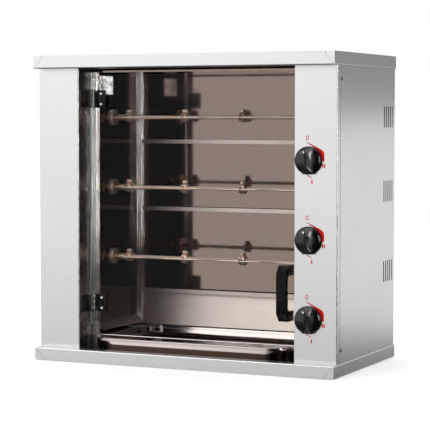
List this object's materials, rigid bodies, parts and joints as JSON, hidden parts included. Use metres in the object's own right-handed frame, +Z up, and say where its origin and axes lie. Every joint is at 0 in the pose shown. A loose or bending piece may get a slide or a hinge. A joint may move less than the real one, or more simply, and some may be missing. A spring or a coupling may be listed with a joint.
{
  "type": "rotisserie oven",
  "caption": "Free-standing stainless electric rotisserie oven: boxed cabinet with a glass door, driven spits, rear heaters, a slide-out drip pan and rotary switches.",
  "frame": {"origin": "middle of the footprint, on the plane the feet stand on", "axes": "+X to the right seen from the front, +Y from front to back, +Z up"},
  "size_m": [0.8, 0.43, 0.76],
  "materials": {
    "casing_steel": "brushed",
    "cavity_steel": "polished",
    "bar_steel": "bright drawn",
    "pan_steel": "deep drawn, bright",
    "screw_steel": "bright",
    "hinge_black": "black baked enamel",
    "knuckle_steel": "satin",
    "door_glass": "clear, tempered",
    "handle_plastic": "glossy black",
    "knob_plastic": "satin black",
    "print_red": "screen printed ink",
    "heater_alloy": "oxidised tube",
    "bush_bronze": "sintered bronze",
    "motor_paint": "grey paint",
    "switch_plastic": "moulded",
    "lamp_chrome": "polished",
    "lamp_glass": "patterned, heat resistant",
    "bulb_glass": "clear",
    "lamp_reflector": "bright",
    "foot_rubber": "moulded",
    "gland_plastic": "moulded",
    "magnet": "ferrite"
  },
  "bodies": {
    "cabinet": {"base_tray": "casing_steel", "cable_gland": "gland_plastic", "case_screws": "screw_steel", "cavity_back_wall": "cavity_steel", "cavity_ceiling": "cavity_steel", "cavity_left_wall": "cavity_steel", "cavity_right_wall": "cavity_steel", "dial_markings": "print_red", "door_catch": "magnet", "feet": "foot_rubber", "front_posts": "bar_steel", "front_rail": "bar_steel", "gearmotors": "motor_paint", "heater_clips": "bar_steel", "heater_shelves": "cavity_steel", "heating_elements": "heater_alloy", "hinge_body_leaves": "hinge_black", "hinge_pins": "knuckle_steel", "hinge_wall_screws": "screw_steel", "lamp_bezel": "lamp_chrome", "lamp_bulb": "bulb_glass", "lamp_glass": "lamp_glass", "lamp_housing": "lamp_reflector", "left_front_panel": "casing_steel", "left_side_panel": "casing_steel", "rear_cover": "casing_steel", "rear_deflector": "cavity_steel", "rear_posts": "bar_steel", "right_front_panel": "casing_steel", "right_side_panel": "casing_steel", "roof_tray": "casing_steel", "rotary_switches": "switch_plastic", "side_deflectors": "cavity_steel", "spit_bushes": "bush_bronze", "terminal_block": "switch_plastic"},
    "door": {"glass_door": "door_glass", "hinge_door_leaves": "hinge_black", "door_screws": "screw_steel", "door_handle": "handle_plastic", "catch_plate": "screw_steel"},
    "pan": {"drip_pan": "pan_steel"},
    "spit_1": {"spit_bar_1": "bar_steel", "spit_forks_1": "bar_steel", "fork_screws_1": "screw_steel", "drive_socket_1": "bar_steel"},
    "control_1": {"knob_1": "knob_plastic", "switch_spindle_1": "knuckle_steel"},
    "spit_2": {"spit_bar_2": "bar_steel", "spit_forks_2": "bar_steel", "fork_screws_2": "screw_steel", "drive_socket_2": "bar_steel"},
    "control_2": {"knob_2": "knob_plastic", "switch_spindle_2": "knuckle_steel"},
    "spit_3": {"spit_bar_3": "bar_steel", "spit_forks_3": "bar_steel", "fork_screws_3": "screw_steel", "drive_socket_3": "bar_steel"},
    "control_3": {"knob_3": "knob_plastic", "switch_spindle_3": "knuckle_steel"}
  },
  "joints": [
    {"name": "door_hinge", "type": "hinge", "parent": "cabinet", "child": "door", "pos_m": [-0.273, -0.143, 0.398], "axis": [0, 0, -1], "range_deg": [0, 110]},
    {"name": "pan_slide", "type": "slide", "parent": "cabinet", "child": "pan", "axis": [0, -1, 0], "range_m": [0, 0.3]},
    {"name": "spit_1_spin", "type": "hinge", "parent": "cabinet", "child": "spit_1", "pos_m": [0, -0.055, 0.607], "axis": [1, 0, 0], "continuous": true},
    {"name": "spit_2_spin", "type": "hinge", "parent": "cabinet", "child": "spit_2", "pos_m": [0, -0.055, 0.431], "axis": [1, 0, 0], "continuous": true},
    {"name": "spit_3_spin", "type": "hinge", "parent": "cabinet", "child": "spit_3", "pos_m": [0, -0.055, 0.255], "axis": [1, 0, 0], "continuous": true},
    {"name": "knob_1_turn", "type": "hinge", "parent": "cabinet", "child": "control_1", "pos_m": [0.3265, -0.19, 0.507], "axis": [0, 1, 0], "range_deg": [0, 180]},
    {"name": "knob_2_turn", "type": "hinge", "parent": "cabinet", "child": "control_2", "pos_m": [0.3265, -0.19, 0.3205], "axis": [0, 1, 0], "range_deg": [0, 180]},
    {"name": "knob_3_turn", "type": "hinge", "parent": "cabinet", "child": "control_3", "pos_m": [0.3265, -0.19, 0.134], "axis": [0, 1, 0], "range_deg": [0, 180]}
  ]
}
